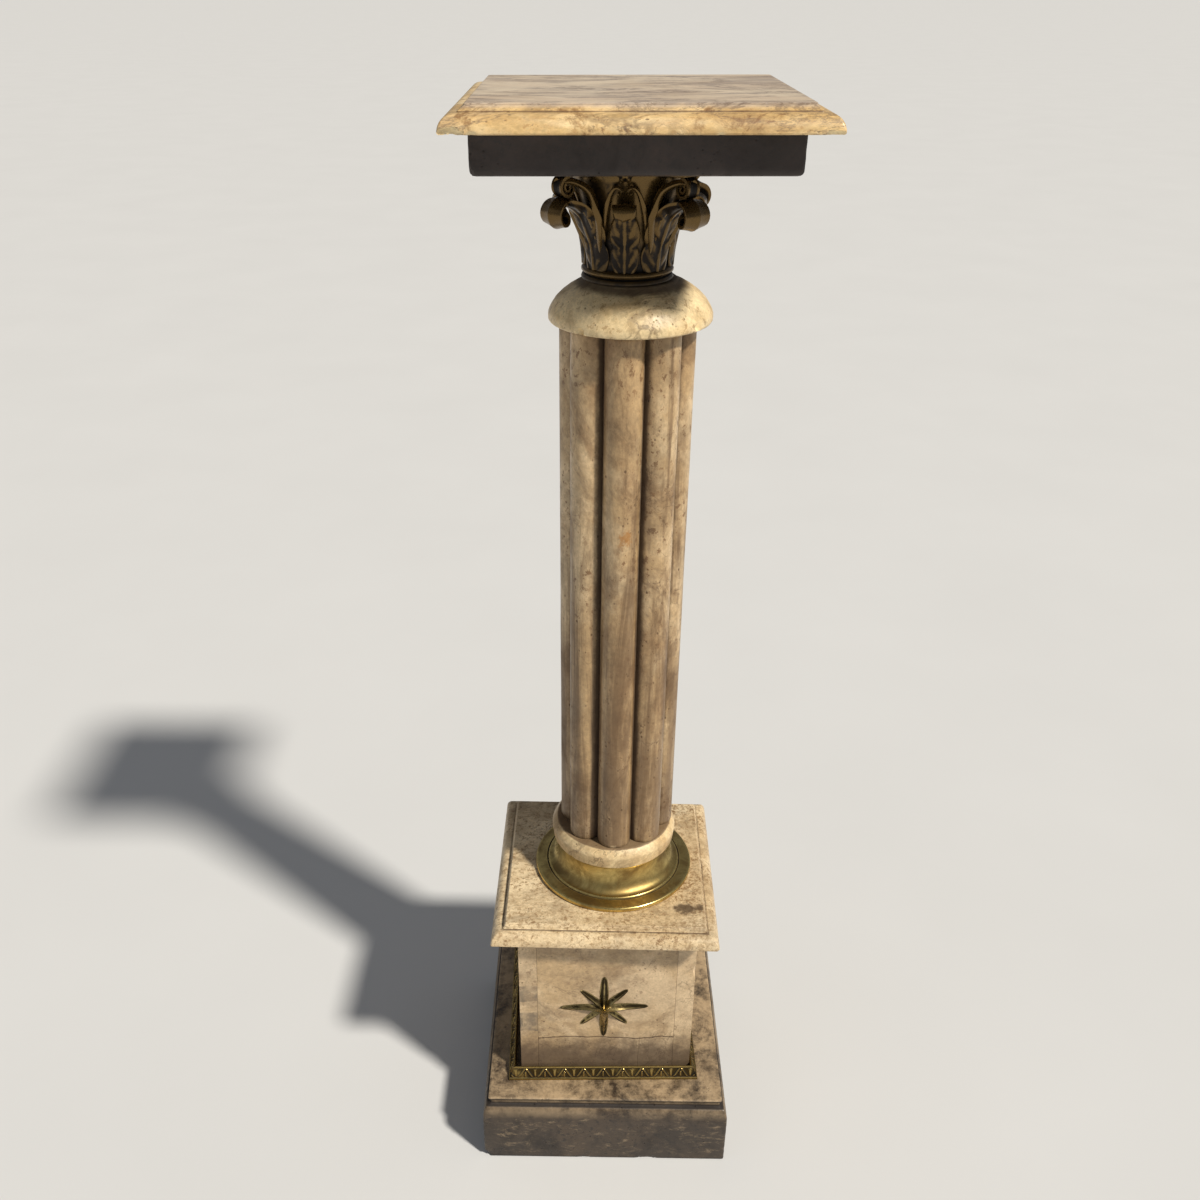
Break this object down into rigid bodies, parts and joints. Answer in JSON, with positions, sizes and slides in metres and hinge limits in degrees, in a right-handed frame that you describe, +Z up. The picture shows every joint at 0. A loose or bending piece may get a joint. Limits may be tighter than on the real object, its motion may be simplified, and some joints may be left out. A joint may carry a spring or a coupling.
{
  "type": "pedestal column",
  "caption": "Free-standing marble pedestal column: moulded square foot and top slabs, reeded round shaft, hollow square dado, and gilt brass mounts including a leafy capital.",
  "frame": {"origin": "on the floor, under the middle of the whole outline", "axes": "+Z up the column; -Y towards the side with the star, which faces the viewer; +X to the viewer's right"},
  "size_m": [0.2738, 0.2691, 1.0491],
  "materials": {
    "marble": "polished, worn",
    "warm_marble": "polished, worn",
    "soiled_marble": "dull, dirty",
    "shaded_marble": "dull",
    "brass": "tarnished gilt",
    "dark_brass": "dark patina over gilding"
  },
  "bodies": {
    "root": {"plinth": "soiled_marble", "foot_moulding_front": "brass", "foot_moulding_right": "brass", "foot_moulding_back": "brass", "foot_moulding_left": "brass", "dado_front": "warm_marble", "dado_right": "warm_marble", "dado_back": "warm_marble", "dado_left": "warm_marble", "dado_star": "brass", "middle_slab": "marble", "base_ring": "brass", "shaft_foot": "marble", "shaft": "warm_marble", "shaft_cap": "marble", "capital": "dark_brass", "capital_block": "shaded_marble", "top_slab": "marble"}
  },
  "joints": []
}
